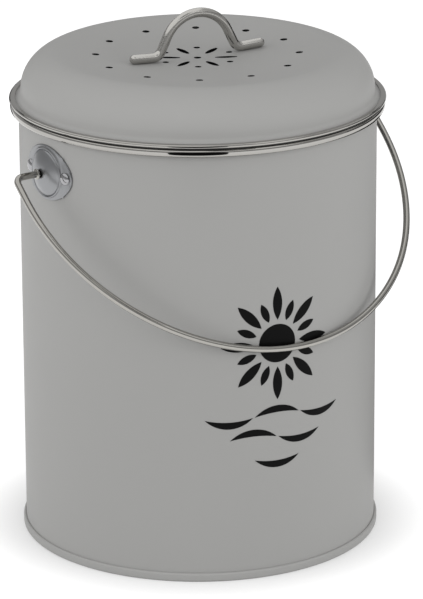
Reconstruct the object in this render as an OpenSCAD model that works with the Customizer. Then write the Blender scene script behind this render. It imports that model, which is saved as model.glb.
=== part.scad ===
// Countertop compost caddy: a straight painted steel pail with a bare rolled
// rim, a wire bail in two riveted ears, and a vented lift-off lid that carries
// a welded rod grip above and a charcoal filter in a bayonet tray below.
// Millimetres, +Z up. The origin is the centre of the foot on the floor, the
// two ears lie on the X axis and the front faces -Y.

/* [Pail] */
// Outside diameter of the wall
pail_d = 200; // [190:1:240]
// Height from the floor to the top of the rim
pail_h = 250; // [200:1:330]
// Thickness of the painted sheet of the pail and the lid
sheet_t = 0.6; // [0.4:0.05:0.9]
// Width of the lapped seam down the back
seam_w = 9; // [5:0.5:16]
// How far the lapped seam stands out from the wall
seam_t = 0.4; // [0.2:0.1:0.8]

/* [Foot and base] */
// Height of the seamed foot
foot_h = 5; // [4:0.5:9]
// How far the foot stands out from the wall
foot_proud = 1.6; // [1.4:0.1:2.4]
// Height of the base panel's edge above the floor
base_z = 6.5; // [5:0.5:12]
// Rise of the base panel's pressed middle
base_rise = 1.6; // [0.6:0.2:4]
// Width of the flat border round the base panel's pressed middle
base_border_w = 20; // [6:0.5:40]

/* [Rim] */
// How far the rolled rim stands out from the wall
rim_proud = 4.7; // [4:0.1:7]
// Height of the rolled rim
rim_h = 4.6; // [4:0.1:7]
// Rounding of the rim's outer edges
rim_round = 1.9; // [1:0.1:1.9]
// Sheet thickness of the bare trim
trim_t = 0.5; // [0.4:0.05:0.8]

/* [Ears] */
// Distance from the top of the rim down to the ears' centres
ear_drop = 25.9; // [24:0.1:60]
// Height of an ear
ear_w = 30.8; // [28:0.2:36]
// Radius of an ear's two ends
ear_end_r = 9.9; // [8.9:0.1:11.5]
// Thickness of an ear's plate
ear_t = 1.1; // [0.8:0.1:1.6]
// Diameter of the pressed dome where it meets the plate
dome_d = 25.6; // [22:0.2:26]
// How far the dome's top stands out from the pail's wall
dome_out = 5.8; // [4.6:0.1:8]
// Clear space between the dome and a rivet's head
rivet_space = 0.6; // [0.4:0.1:4]
// Width of the plate beyond a rivet's head
ear_margin = 1.3; // [1:0.1:4]
// Diameter of a rivet's shank
rivet_d = 4; // [3:0.1:5]
// Diameter of a rivet's head
rivet_head_d = 7; // [5.6:0.1:7.4]
// Height of a rivet's head
rivet_head_h = 1.9; // [1:0.1:2.6]

/* [Bail] */
// Diameter of the bail's wire
wire_d = 3.8; // [3:0.1:4.4]
// How much longer the bail's reach from its pivots is than the wall's radius
bail_slack = 36.9; // [33:0.1:50]
// How far the bail's sides stand out from the wall, to the wire's middle
bail_out = 21; // [18:0.1:24]
// How much larger the radius of the bail's grip arc is than the wall's
bail_bow = 16.5; // [4:0.5:18]
// Angle from the middle of the grip arc to where a side arc takes over
bail_blend = 21.7; // [18:0.1:30]
// Radius of the elbows below the pivots
elbow_r = 4.5; // [3:0.5:5.5]
// Diameter of the upset heads and the pinched collars on the wire
collar_d = 6; // [5.4:0.1:7]
// Width of a pinched collar
collar_w = 1.6; // [1:0.1:2.4]
// Radial clearance of the wire in an ear's hole
wire_gap = 0.4; // [0.2:0.05:0.6]
// Clearance between the hanging bail and the wall
bail_rest_gap = 0.15; // [0.1:0.05:1]

/* [Lid] */
// Height of the lid's straight wall between the cove and the shoulder
lid_wall_h = 1.5; // [0.5:0.1:12]
// Radius of the lid's shoulder
shoulder_r = 21; // [16:0.5:22]
// Depth of the lid's dished top below the shoulder's highest circle
dish_d = 4.6; // [2:0.1:7]
// Radius of the cove where the wall turns out into the flange
cove_r = 3.2; // [2:0.1:3.6]
// How far the bare trim on the flange stands out over the rim
band_over = 0.5; // [0:0.1:1]
// Height of the bare trim on the flange
band_h = 2; // [1.8:0.1:3]
// Thickness of the seal under the flange
seal_t = 0.5; // [0.4:0.1:1.5]
// Height of the seal's collar on the skirt
seal_collar_h = 0.9; // [0.4:0.1:1.2]
// Gap between the seal and the rim
lid_seat_gap = 0.1; // [0.05:0.05:0.5]
// Distance that the lid's skirt reaches into the pail
skirt_drop = 10; // [6:0.5:20]
// Radial clearance of the skirt in the rim
skirt_gap = 0.7; // [0.3:0.1:1.2]
// Radius of the rolled edge under the skirt
skirt_hem_r = 1; // [0.7:0.1:1.5]

/* [Vents] */
// Number of round vents in the outer ring
vent_n = 12; // [8:1:18]
// Distance of the outer ring of vents from the shoulder
vent_inset = 21.2; // [17:0.2:26]
// Diameter of the round vents
vent_d = 4; // [3:0.1:5]
// Number of petal slots, and of the small holes between them
petal_n = 6; // [4:1:6]
// Radius at the middle of the petal slots
petal_ring_r = 15.9; // [14:0.1:17]
// Length of a petal slot
petal_l = 12.4; // [9:0.1:13]
// Width of a petal slot
petal_w = 3.7; // [3:0.1:4.2]
// Radius of the ring of small holes
bud_ring_r = 20.6; // [19:0.1:24]
// Diameter of the small holes
bud_d = 3.6; // [3:0.1:4]
// Turn of all the vents against the line of the ears
vent_turn = -3.6; // [-30:0.1:30]

/* [Grip] */
// Diameter of the grip's rod
grip_d = 5.4; // [4:0.1:7]
// Radius of the grip's arch
grip_arc_r = 21; // [16:0.5:26]
// Slope of the grip's legs
grip_slope = 64; // [50:1:75]
// Length of the straight part of a leg
grip_leg_l = 8.5; // [3:0.5:12]
// Radius of the bend into a foot
grip_bend_r = 5.5; // [4:0.5:8]
// Length of a foot, without its round end
grip_foot_l = 11.4; // [8:0.2:16]
// Turn of the welded grip against the line of the ears
grip_turn = -7.3; // [-20:0.1:20]

/* [Filter] */
// Distance of the filter's seat from the shoulder
seat_inset = 7.8; // [7.4:0.2:10]
// Thickness of the seat's steel
seat_t = 0.8; // [0.6:0.1:1.2]
// Width of the seat's weld flange
seat_flange_w = 6; // [4:0.5:8]
// Radial clearance of the tray in the seat
tray_gap = 0.3; // [0.2:0.05:0.6]
// Thickness of the tray's wall and floor
tray_t = 1.6; // [1.2:0.1:2.4]
// Depth of the tray
tray_h = 9; // [8:0.5:11]
// Number of bayonet lugs
lug_n = 3; // [2:1:4]
// Diameter of the bayonet lugs
lug_d = 4; // [3:0.1:4.4]
// Clearance round a lug in its slot
lug_gap = 0.3; // [0.2:0.05:0.6]
// Angle that the tray turns between locked and free
tray_turn = 18; // [12:1:25]
// Number of spokes in the tray's floor
spoke_n = 12; // [6:1:16]
// Width of the spokes and the middle ring
spoke_w = 2.6; // [2:0.1:4]
// Radius of the tray's middle ring
tray_ring_r = 40; // [30:1:50]
// Radius of the tray's centre disc
tray_hub_r = 14; // [10:0.5:20]
// Length of the finger bar under the tray
bar_l = 30; // [20:1:38]
// Height of the finger bar
bar_h = 8; // [5:0.5:10]
// Thickness of the filter pad
pad_t = 7; // [5:0.5:8]
// Gap between the pad and the middle of the lid
pad_gap = 0.55; // [0.3:0.05:2]

/* [Hidden] */
$fn = 96;
rod_sides = 16;

// Clearance between pieces that are pressed, folded or welded together
fit = 0.05;
// Length that a cutting tool runs past the face it cuts
over = 2;

// Pail
pail_r = pail_d / 2;
pail_ri = pail_r - sheet_t;
foot_r = pail_r + foot_proud;
foot_round = 1.2;
base_ro = pail_ri - fit;
base_corner = 2.5;
base_mid_r = base_ro - base_border_w;
rim_ro = pail_r + rim_proud;
rim_ri = pail_ri - fit - trim_t;
rim_z = pail_h - rim_h;
rim_corner = 0.8;
shell_top = pail_h - trim_t - fit;

// Ears
ear_z = pail_h - ear_drop;
ear_ri = pail_r + fit;
ear_ro = ear_ri + ear_t;
rivet_pitch = dome_d + 2 * rivet_space + rivet_head_d;
ear_side_d = rivet_pitch / 2 + rivet_head_d / 2 + ear_margin - ear_end_r;
ear_blend_r = ear_end_r - 0.1;
ear_side_r = (pow(ear_side_d, 2) + pow(ear_w / 2, 2) - pow(ear_blend_r, 2)) / (ear_w - 2 * ear_blend_r);
ear_side_c = ear_side_r - ear_w / 2;
ear_joint_x = ear_side_r * ear_side_d / (ear_side_r - ear_blend_r);
dome_x = pail_r + dome_out;
dome_h = dome_x - ear_ro;
dome_r = (pow(dome_d / 2, 2) + pow(dome_h, 2)) / (2 * dome_h);
dome_c = dome_x - dome_r;
dome_base = ear_ri - over;
rivet_a = asin(rivet_pitch / 2 / ear_ro);
rivet_cap_r = (pow(rivet_head_d / 2, 2) + pow(rivet_head_h, 2)) / (2 * rivet_head_h);
rivet_tail_d = 1.5 * rivet_d;
rivet_tail_h = 1;
rivet_tail_x = sqrt(pow(pail_ri, 2) - pow(rivet_tail_d / 2, 2)) - fit;

// Bail, drawn hanging straight down from its pivots
hole_r = wire_d / 2 + wire_gap;
bail_reach = pail_r + bail_slack;
bail_w = pail_r + bail_out;
bail_grip_r = pail_r + bail_bow;
bail_side_r = (bail_w - bail_grip_r * sin(bail_blend)) / (1 - sin(bail_blend));
bail_grip_c = bail_reach - bail_grip_r;
bail_side_dx = bail_side_r - bail_w;
bail_side_c = bail_grip_c - (bail_side_r - bail_grip_r) * cos(bail_blend);
bail_tilt = asin((pail_r + wire_d / 2 + bail_rest_gap) / bail_reach);
head_gap = 0.6;
head_w = 1.8;
head_x = pail_r + head_gap;
collar_gap = 0.5;
collar_x = dome_x + collar_gap;

// Lid: its bare trim, sheet and skirt
seal_z = pail_h + lid_seat_gap;
band_z = seal_z + seal_t;
skirt_r = rim_ri - skirt_gap;
skirt_z = pail_h - skirt_drop;
lid_r = skirt_r + fit + sheet_t;
cove_x = lid_r + cove_r;
band_ri = cove_x;
band_ro = rim_ro + band_over;
band_round = band_h / 2 - fit;
band_corner = 0.2;
band_wall = 0.7;
seal_r = band_ro - 1;
flange_r = band_ro - band_wall;
flange_z = band_z + (band_h + sheet_t) / 2;
cove_z = flange_z + cove_r;
shoulder_x = lid_r - shoulder_r;
shoulder_z = cove_z + lid_wall_h;
dish_z = shoulder_z + shoulder_r - dish_d;
dish_r = (pow(shoulder_x, 2) + pow(shoulder_r - dish_d, 2) - pow(shoulder_r, 2)) / (2 * dish_d);
dish_cz = dish_z + dish_r;
dish_a = asin(shoulder_x / (dish_r + shoulder_r));

// Grip: worked up from the feet, which lie on the dished top
grip_r = grip_d / 2;
grip_foot_x = (grip_arc_r + grip_bend_r) * sin(grip_slope) + grip_leg_l * cos(grip_slope);
grip_tilt = asin((grip_foot_x + grip_foot_l / 2) / dish_r);
grip_heel_x = grip_foot_x + grip_bend_r * sin(grip_tilt);
grip_lift = dish_r - grip_r - fit;
grip_heel_z = dish_cz - (grip_lift - grip_heel_x * sin(grip_tilt)) / cos(grip_tilt);
grip_bend_x = grip_heel_x - grip_bend_r * sin(grip_tilt);
grip_bend_z = grip_heel_z + grip_bend_r * cos(grip_tilt);
grip_knee_x = grip_bend_x - grip_bend_r * sin(grip_slope);
grip_knee_z = grip_bend_z - grip_bend_r * cos(grip_slope);
grip_arc_z = grip_knee_z + grip_leg_l * sin(grip_slope) - grip_arc_r * cos(grip_slope);
grip_tip = [grip_heel_x, grip_heel_z] + grip_foot_l * [cos(grip_tilt), sin(grip_tilt)];

// Vents
vent_ring_r = shoulder_x - vent_inset;
vent_z = dish_z - sheet_t - over;
vent_h = dish_d + sheet_t + 2 * over;
petal_r = (pow(petal_l / 2, 2) + pow(petal_w / 2, 2)) / petal_w;

// Filter
seat_ri = shoulder_x - seat_inset;
seat_ro = seat_ri + seat_t;
seat_top = dish_cz - sqrt(pow(dish_r + sheet_t, 2) - pow(seat_ri, 2)) - fit;
tray_ro = seat_ri - tray_gap;
tray_ri = tray_ro - tray_t;
pad_r = tray_ri - 0.3;
pad_z = dish_z - sheet_t - pad_gap - pad_t;
tray_z = pad_z - fit - tray_t;
seat_z = tray_z - 1;
lug_edge = 1;
lug_z = tray_z + tray_h - lug_d / 2 - lug_edge;
lug_out = 0.6;
slot_r = lug_d / 2 + lug_gap;
bar_t = 4;

// Colours
PAINT = [0.63, 0.63, 0.62];
POLISHED = [0.82, 0.82, 0.80];
BRUSHED = [0.68, 0.68, 0.68];
BLACK = [0.08, 0.08, 0.08];
CHARCOAL = [0.16, 0.16, 0.17];

// Points of an arc round c from angle a0 to angle a1
function arc(c, r, a0, a1, n) =
    [for (i = [0:n]) let (a = a0 + (a1 - a0) * i / n) [c[0] + r * cos(a), c[1] + r * sin(a)]];

function reversed(p) = [for (i = [len(p) - 1:-1:0]) p[i]];

function mirrored(p) = [for (q = p) [-q[0], q[1], q[2]]];

// A path without its first point, which a path before it already holds
function rest(p) = [for (i = [1:len(p) - 1]) p[i]];

// A path's points with a diameter added
function sized(p, d) = [for (q = p) [q[0], q[1], d]];

// Direction from a path's point i to the next
function leg(p, i) = let (s = [p[i + 1][0] - p[i][0], p[i + 1][1] - p[i][1]]) s / norm(s);

// Direction of a path at its point i, the mean of the legs that meet there
function heading(p, i) =
    let (s = leg(p, max(i - 1, 0)) + leg(p, min(i, len(p) - 2))) s / norm(s);

// Line of the lid's sheet from its middle to its edge, sunk by t
function lid_line(t) = concat(
    arc([0, dish_cz], dish_r + t, -90, -90 + dish_a, 10),
    arc([shoulder_x, shoulder_z], shoulder_r - t, 90 + dish_a, 0, 14),
    arc([cove_x, cove_z], cove_r + t, 180, 270, 6),
    [[flange_r, flange_z - t]]
);

// Line of the base panel from its middle to its outer wall, raised by t
function base_line(t) = concat(
    [[0, base_z + base_rise + t]],
    [[base_mid_r - base_rise, base_z + base_rise + t]],
    [[base_mid_r + base_rise, base_z + t]],
    arc([base_ro - sheet_t - base_corner, base_z - base_corner], base_corner + t, 90, 0, 5)
);

// Right half of the bail in the XY plane, hanging towards -Y
bail_half = sized(concat(
    arc([0, -bail_grip_c], bail_grip_r, -90, -90 + bail_blend, 5),
    rest(arc([-bail_side_dx, -bail_side_c], bail_side_r, -90 + bail_blend, 0, 14)),
    arc([bail_w - elbow_r, -elbow_r], elbow_r, 0, 90, 6),
    [[collar_x + 2 * collar_w / 3, 0]]
), wire_d);

// Right half of the grip in the XY plane, with Y as its height and a round tip
grip_half = concat(
    sized(concat(
        arc([0, grip_arc_z], grip_arc_r, 90, 90 - grip_slope, 8),
        arc([grip_bend_x, grip_bend_z], grip_bend_r, 270 - grip_slope, 270 + grip_tilt, 6)
    ), grip_d),
    [for (a = [0:20:80])
        let (p = grip_tip + grip_r * sin(a) * [cos(grip_tilt), sin(grip_tilt)])
            [p[0], p[1], grip_d * cos(a)]]
);

// Section with its own rounding at the inner and at the outer corners
module bead(ri, ro, z0, z1, c_in, c_out) {
    polygon(concat(
        arc([ri + c_in, z0 + c_in], c_in, 180, 270, 4),
        arc([ro - c_out, z0 + c_out], c_out, 270, 360, 8),
        arc([ro - c_out, z1 - c_out], c_out, 0, 90, 8),
        arc([ri + c_in, z1 - c_in], c_in, 90, 180, 4)
    ));
}

// Round rod along a path in the XY plane, whose points are [x, y, diameter]
module rod(path) {
    rings = [for (i = [0:len(path) - 1])
        let (h = heading(path, i))
            [for (j = [0:rod_sides - 1])
                let (a = 360 * j / rod_sides, r = path[i][2] / 2)
                    [path[i][0] - h[1] * cos(a) * r, path[i][1] + h[0] * cos(a) * r, sin(a) * r]]];
    last = (len(path) - 1) * rod_sides;
    polyhedron(
        points = [for (ring = rings) each ring],
        faces = concat(
            [[for (j = [0:rod_sides - 1]) j]],
            [[for (j = [rod_sides - 1:-1:0]) last + j]],
            [for (i = [0:len(path) - 2], j = [0:rod_sides - 1])
                let (a = i * rod_sides + j, b = i * rod_sides + (j + 1) % rod_sides)
                    each [[a, b + rod_sides, b], [a, a + rod_sides, b + rod_sides]]]
        )
    );
}

// Round length of wire on the pivots' axis, from x0 to x1
module pivot_pin(x0, x1, d) {
    translate([x0, 0, 0])
        rotate([0, 90, 0])
            cylinder(h = x1 - x0, d = d, $fn = 32);
}

// Ring round the Z axis
module ring(ri, ro, z0, z1) {
    rotate_extrude()
        translate([ri, z0])
            square([ro - ri, z1 - z0]);
}

// Shape drawn on the wall at +X, looking in from outside, as a radial cutter
module radial(x0, x1) {
    translate([x0, 0, ear_z])
        rotate([90, 0, 90])
            linear_extrude(x1 - x0)
                children();
}

// Oval of four arcs
module ear_outline() {
    intersection() {
        translate([0, -ear_side_c])
            circle(r = ear_side_r);
        translate([0, ear_side_c])
            circle(r = ear_side_r);
        square([2 * ear_joint_x, ear_w + over], center = true);
    }
    for (s = [-1, 1])
        translate([s * ear_side_d, 0])
            circle(r = ear_end_r);
}

// Holes for the rivets of the two ears
module rivet_holes() {
    for (side = [0, 180], s = [-1, 1])
        rotate([0, 0, side + s * rivet_a])
            radial(pail_ri - over, ear_ro + over)
                circle(d = rivet_d + 2 * fit, $fn = 32);
}

// Lens-shaped slot of a petal
module petal() {
    intersection_for (s = [-1, 1])
        translate([0, s * (petal_r - petal_w / 2)])
            circle(r = petal_r);
}

// Copies of a shape in a ring of n, the first turned by a
module circled(n, r, a = 0) {
    for (i = [0:n - 1])
        rotate(a + 360 * i / n)
            translate([r, 0])
                children();
}

// All the openings in the lid's dished top
module vents() {
    circle(d = vent_d, $fn = 32);
    circled(vent_n, vent_ring_r)
        circle(d = vent_d, $fn = 32);
    circled(petal_n, bud_ring_r)
        circle(d = bud_d, $fn = 32);
    circled(petal_n, petal_ring_r, 180 / petal_n)
        petal();
}

// Painted wall, with the fold that the base is seamed to and the lap at the back
module pail_shell() {
    color(PAINT)
        difference() {
            union() {
                ring(pail_ri, pail_r, sheet_t + fit, shell_top);
                ring(pail_ri, foot_r - sheet_t - fit, sheet_t + fit, foot_h - sheet_t - fit);
                intersection() {
                    ring(pail_ri, pail_r + seam_t, foot_h + fit, rim_z - fit);
                    translate([-seam_w / 2, 0, 0])
                        cube([seam_w, pail_d, pail_h]);
                }
            }
            rivet_holes();
        }
}

// Base panel whose edge is folded round the wall's fold as the foot
module pail_base() {
    color(PAINT)
        rotate_extrude()
            union() {
                polygon(concat(base_line(0), reversed(base_line(sheet_t))));
                translate([base_ro - sheet_t, sheet_t])
                    square([sheet_t, base_z - base_corner - sheet_t]);
                difference() {
                    bead(base_ro - sheet_t, foot_r, 0, foot_h, fit, foot_round);
                    translate([base_ro, sheet_t])
                        square([foot_r - sheet_t - base_ro, foot_h - 2 * sheet_t]);
                    translate([base_ro - sheet_t - over, sheet_t])
                        square([pail_r + fit - base_ro + sheet_t + over, foot_h]);
                }
            }
}

// Bare rolled rim, slotted from below for the top of the wall
module pail_rim() {
    color(POLISHED)
        rotate_extrude()
            difference() {
                bead(rim_ri, rim_ro, rim_z, pail_h, rim_corner, rim_round);
                bead(rim_ri + trim_t, rim_ro - trim_t, rim_z + trim_t, pail_h - trim_t,
                    fit, rim_round - trim_t);
                translate([rim_ri - over, rim_z - over])
                    square([pail_r + fit - rim_ri + over, rim_round + over]);
            }
}

// Cap of a ball at +X: its centre and radius, cut off flat at x
module ear_cap(c, r, x) {
    translate([0, 0, ear_z])
        rotate([0, 90, 0])
            rotate_extrude()
                polygon(concat([[0, x]], arc([0, c], r, asin((x - c) / r), 90, 10)));
}

// Pressed ear in its place at +X
module ear() {
    color(POLISHED)
        difference() {
            union() {
                intersection() {
                    ring(ear_ri, ear_ro, ear_z - ear_w, ear_z + ear_w);
                    radial(0, ear_ro + over)
                        ear_outline();
                }
                ear_cap(dome_c, dome_r, dome_base);
            }
            cylinder(r = ear_ri, h = pail_h);
            ear_cap(dome_c, dome_r - ear_t, dome_base - over);
            radial(pail_r, dome_x + over)
                circle(r = hole_r, $fn = 32);
            rivet_holes();
        }
}

module left_ear() {
    mirror([1, 0, 0])
        ear();
}

module right_ear() {
    ear();
}

// Two round-headed rivets of the ear at +X, closed inside the pail
module rivets() {
    color(POLISHED)
        for (s = [-1, 1])
            rotate([0, 0, s * rivet_a]) {
                ear_cap(ear_ro + fit + rivet_head_h - rivet_cap_r, rivet_cap_r, ear_ro + fit);
                radial(rivet_tail_x - fit, ear_ro + 2 * fit)
                    circle(d = rivet_d, $fn = 32);
                radial(rivet_tail_x - rivet_tail_h, rivet_tail_x)
                    circle(d = rivet_tail_d, $fn = 32);
            }
}

module left_ear_rivets() {
    mirror([1, 0, 0])
        rivets();
}

module right_ear_rivets() {
    rivets();
}

// Wire bail, lying against the front of the pail
module bail() {
    color(POLISHED)
        translate([0, 0, ear_z])
            rotate([90 - bail_tilt, 0, 0]) {
                rod(concat(reversed(mirrored(bail_half)), rest(bail_half)));
                for (side = [0, 1])
                    mirror([side, 0, 0]) {
                        pivot_pin(head_x, head_x + head_w, collar_d);
                        pivot_pin(head_x + head_w / 2, collar_x + collar_w / 3, wire_d);
                        pivot_pin(collar_x, collar_x + collar_w, collar_d);
                    }
            }
}

// Painted lid with its dished top, vents and flange
module lid_shell() {
    color(PAINT)
        difference() {
            rotate_extrude()
                polygon(concat(lid_line(0), reversed(lid_line(sheet_t))));
            translate([0, 0, vent_z])
                rotate([0, 0, vent_turn])
                    linear_extrude(vent_h)
                        vents();
        }
}

// Bare trim folded over the edge of the lid's flange
module lid_band() {
    color(POLISHED)
        rotate_extrude()
            difference() {
                bead(band_ri, band_ro, band_z, band_z + band_h, band_corner, band_round);
                translate([band_ri - over, flange_z - sheet_t - fit])
                    square([flange_r + fit - band_ri + over, sheet_t + 2 * fit]);
            }
}

// Skirt that centres the lid in the pail, with its lower edge rolled in
module lid_skirt() {
    color(BRUSHED)
        rotate_extrude()
            union() {
                translate([skirt_r - sheet_t, skirt_z + skirt_hem_r])
                    square([sheet_t, shoulder_z - skirt_z - skirt_hem_r]);
                translate([skirt_r - skirt_hem_r, skirt_z + skirt_hem_r])
                    circle(r = skirt_hem_r, $fn = 32);
            }
}

// Flat seal between the flange and the rim, held by its collar on the skirt
module lid_seal() {
    color(BLACK) {
        ring(skirt_r + fit, seal_r, seal_z, band_z - fit);
        ring(skirt_r + fit, lid_r + fit, seal_z, band_z + seal_collar_h);
    }
}

// Bent rod grip, its two feet welded to the dished top
module lid_grip() {
    color(POLISHED)
        rotate([90, 0, grip_turn])
            rod(concat(reversed(mirrored(grip_half)), rest(grip_half)));
}

// Slot that lets a lug in from below and holds it after the turn
module lug_slot() {
    rotate_extrude(angle = tray_turn)
        translate([seat_ri - over, lug_z - slot_r])
            square([seat_t + 2 * over, 2 * slot_r]);
    for (a = [0, tray_turn])
        rotate([0, 0, a])
            translate([seat_ri - over, 0, lug_z])
                rotate([0, 90, 0])
                    cylinder(r = slot_r, h = seat_t + 2 * over, $fn = 32);
    rotate([0, 0, tray_turn])
        translate([seat_ri - over, -slot_r, seat_z - over])
            cube([seat_t + 2 * over, 2 * slot_r, lug_z - seat_z + over]);
}

// Ring under the lid that the filter's tray locks into
module filter_seat() {
    color(BRUSHED)
        difference() {
            rotate_extrude()
                union() {
                    translate([seat_ri, seat_z])
                        square([seat_t, seat_top - seat_z]);
                    translate([seat_ri, seat_top - seat_t])
                        square([seat_t + seat_flange_w, seat_t]);
                }
            for (i = [0:lug_n - 1])
                rotate([0, 0, 360 * i / lug_n])
                    lug_slot();
        }
}

// Tray with an open floor, bayonet lugs and a finger bar to turn it by
module filter_tray() {
    color(BLACK) {
        ring(tray_ri, tray_ro, tray_z, tray_z + tray_h);
        ring(tray_ri - spoke_w, tray_ro, tray_z, tray_z + tray_t);
        ring(tray_ring_r - spoke_w, tray_ring_r, tray_z, tray_z + tray_t);
        translate([0, 0, tray_z])
            cylinder(r = tray_hub_r, h = tray_t);
        for (i = [0:spoke_n - 1])
            rotate([0, 0, 360 * i / spoke_n])
                translate([0, -spoke_w / 2, tray_z])
                    cube([tray_ri + tray_t / 2, spoke_w, tray_t]);
        for (i = [0:lug_n - 1])
            rotate([0, 0, 360 * i / lug_n])
                translate([tray_ri + tray_t / 2, 0, lug_z])
                    rotate([0, 90, 0])
                        cylinder(d = lug_d, h = seat_ro + lug_out - tray_ri - tray_t / 2, $fn = 32);
        translate([0, 0, tray_z - bar_h])
            linear_extrude(bar_h + tray_t / 2) {
                square([bar_l - bar_t, bar_t], center = true);
                for (s = [-1, 1])
                    translate([s * (bar_l - bar_t) / 2, 0])
                        circle(d = bar_t, $fn = 32);
            }
    }
}

// Charcoal pad lying in the tray, under the vents
module filter_pad() {
    color(CHARCOAL)
        translate([0, 0, pad_z])
            cylinder(r = pad_r, h = pad_t);
}

pail_shell();
pail_base();
pail_rim();
left_ear();
right_ear();
left_ear_rivets();
right_ear_rivets();
bail();
lid_shell();
lid_band();
lid_skirt();
lid_seal();
lid_grip();
filter_seat();
filter_tray();
filter_pad();
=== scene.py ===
"""Looks of a countertop compost caddy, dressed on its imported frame.

The pail stands on the floor at the origin, +Z is up, its ears lie on the X
axis and its front faces -Y. Sizes are in millimetres and angles in degrees
until the bench functions turn them into Blender's metres and radians.
"""

import logging
import math
from dataclasses import dataclass, field
from enum import Enum
from functools import cache

import bpy
from mathutils import Matrix, Vector


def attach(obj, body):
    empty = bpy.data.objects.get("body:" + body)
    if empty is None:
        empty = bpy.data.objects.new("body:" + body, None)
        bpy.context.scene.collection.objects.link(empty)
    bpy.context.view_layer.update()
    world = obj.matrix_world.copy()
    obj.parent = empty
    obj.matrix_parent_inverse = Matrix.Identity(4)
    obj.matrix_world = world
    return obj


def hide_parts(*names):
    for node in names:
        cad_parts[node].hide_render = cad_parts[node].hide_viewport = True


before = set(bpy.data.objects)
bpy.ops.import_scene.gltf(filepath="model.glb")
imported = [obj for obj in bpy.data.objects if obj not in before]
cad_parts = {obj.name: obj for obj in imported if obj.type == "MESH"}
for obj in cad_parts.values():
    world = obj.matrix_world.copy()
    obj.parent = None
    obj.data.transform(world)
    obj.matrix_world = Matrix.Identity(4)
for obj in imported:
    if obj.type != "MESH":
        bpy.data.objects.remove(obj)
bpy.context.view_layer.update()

MM = 0.001
MERGE_WITHIN = 0.002 * MM
Pair = tuple[float, float]
Outline = list[Pair]
Ring = tuple[float, float, float]
Rgb = tuple[float, float, float]
Piece = bpy.types.Object
Socket = bpy.types.NodeSocket
log = logging.getLogger("caddy")


class Body(Enum):
    """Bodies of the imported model."""

    PAIL = "pail"
    BAIL = "bail"
    LID = "lid"
    FILTER = "filter"


# ---------------------------------------------------------------- outlines


def arc(centre: Pair, radius: float, start: float, end: float, steps: int) -> Outline:
    """Points of an arc.

    Args:
        centre: Middle of the arc.
        radius: Its radius.
        start: Angle of the first point.
        end: Angle of the last point.
        steps: Number of chords.

    Returns:
        The arc's points, both ends among them.
    """
    angles = [math.radians(start + (end - start) * i / steps) for i in range(steps + 1)]
    return [(centre[0] + radius * math.cos(a), centre[1] + radius * math.sin(a)) for a in angles]


def soft_corner(before: Pair, corner: Pair, after: Pair, steps: int) -> Outline:
    """Points of a curve that rounds a corner.

    Args:
        before: Point where the curve leaves the first side.
        corner: The sharp corner.
        after: Point where the curve meets the second side.
        steps: Number of chords.

    Returns:
        The curve's points, both ends among them.
    """
    points = []
    for i in range(steps + 1):
        t = i / steps
        weights = ((1 - t) ** 2, 2 * t * (1 - t), t ** 2)
        mixed = [[w * value for value in p] for w, p in zip(weights, (before, corner, after))]
        points.append(tuple(map(sum, zip(*mixed))))
    return points


def bead_outline(inner: float, outer: float, bottom: float, top: float,
                 inner_round: float, outer_round: float) -> Outline:
    """Closed section of a ring with rounded corners.

    Args:
        inner: Inner radius.
        outer: Outer radius.
        bottom: Lowest height.
        top: Highest height.
        inner_round: Radius of the two inner corners.
        outer_round: Radius of the two outer corners.

    Returns:
        The section's points.
    """
    return [
        *arc((inner + inner_round, bottom + inner_round), inner_round, 180, 270, 4),
        *arc((outer - outer_round, bottom + outer_round), outer_round, 270, 360, 12),
        *arc((outer - outer_round, top - outer_round), outer_round, 0, 90, 12),
        *arc((inner + inner_round, top - inner_round), inner_round, 90, 180, 4),
    ]


# ------------------------------------------------------------------- bench


def clear_bench() -> None:
    """Leaves object mode with nothing selected."""
    if bpy.context.mode != "OBJECT":
        bpy.ops.object.mode_set(mode="OBJECT")
    bpy.ops.object.select_all(action="DESELECT")


def take(piece: Piece) -> None:
    """Makes a piece the only one selected.

    Args:
        piece: The piece.
    """
    clear_bench()
    piece.select_set(True)
    bpy.context.view_layer.objects.active = piece


def apply_place() -> None:
    """Moves the active piece's place, turn and scale into its mesh."""
    bpy.ops.object.transform_apply(location=True, rotation=True, scale=True)


def edit_all() -> None:
    """Enters edit mode with the whole mesh selected."""
    bpy.ops.object.mode_set(mode="EDIT")
    bpy.ops.mesh.select_all(action="SELECT")


def settle(piece: Piece, smooth: float = 32) -> Piece:
    """Closes a modelled piece: doubles merged, faces outwards, place in its mesh.

    Args:
        piece: The piece.
        smooth: Edges sharper than this angle stay sharp.

    Returns:
        The same piece.
    """
    take(piece)
    apply_place()
    edit_all()
    bpy.ops.mesh.remove_doubles(threshold=MERGE_WITHIN)
    bpy.ops.mesh.normals_make_consistent(inside=False)
    bpy.ops.object.mode_set(mode="OBJECT")
    bpy.ops.object.shade_smooth_by_angle(angle=math.radians(smooth))
    return piece


def turn_piece(piece: Piece, angle: float, axis: str) -> None:
    """Turns a piece round one of the frame's axes.

    Args:
        piece: The piece.
        angle: Angle of the turn.
        axis: Letter of the axis.
    """
    take(piece)
    piece.matrix_world = Matrix.Rotation(math.radians(angle), 4, axis) @ piece.matrix_world
    apply_place()


def shift_piece(piece: Piece, x: float, y: float, z: float) -> None:
    """Moves a piece.

    Args:
        piece: The piece.
        x: Distance along X.
        y: Distance along Y.
        z: Distance along Z.
    """
    take(piece)
    bpy.ops.transform.translate(value=(x * MM, y * MM, z * MM))
    apply_place()


def copy_piece(piece: Piece, name: str) -> Piece:
    """Copies a piece with a mesh of its own.

    Args:
        piece: The piece.
        name: Name of the copy.

    Returns:
        The copy.
    """
    take(piece)
    bpy.ops.object.duplicate(linked=False)
    made = bpy.context.object
    made.name = name
    return made


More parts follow.
